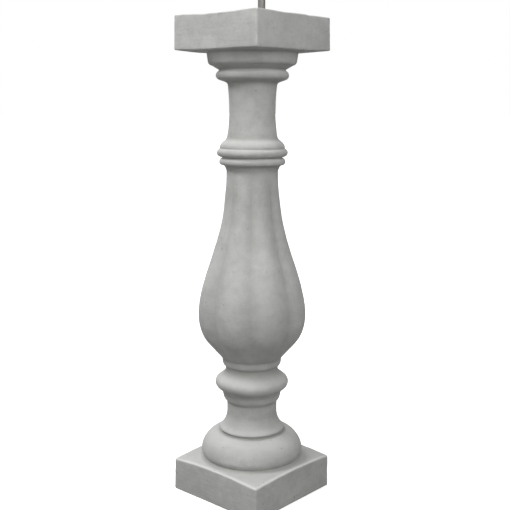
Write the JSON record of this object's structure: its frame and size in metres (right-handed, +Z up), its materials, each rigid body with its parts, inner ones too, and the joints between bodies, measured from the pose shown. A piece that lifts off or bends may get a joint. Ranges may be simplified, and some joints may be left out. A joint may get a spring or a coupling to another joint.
{
  "type": "stone baluster",
  "caption": "Cast-stone baluster with square plinth and cap, a lobed pear-shaped vase between turned mouldings, and a steel bar end standing out of the cap.",
  "frame": {"origin": "centre of the plinth's underside", "axes": "+Z up along the column's axis, +X and +Y square to the faces of the plinth and the cap"},
  "size_m": [0.161, 0.161, 0.73],
  "materials": {
    "cast_stone": "matt grey cement cast in a mould, trowelled, with small air holes",
    "bar_steel": "hot-rolled mild steel bar with mill scale and cement smears"
  },
  "bodies": {
    "root": {"baluster": "cast_stone", "reinforcing_rod": "bar_steel"}
  },
  "joints": []
}
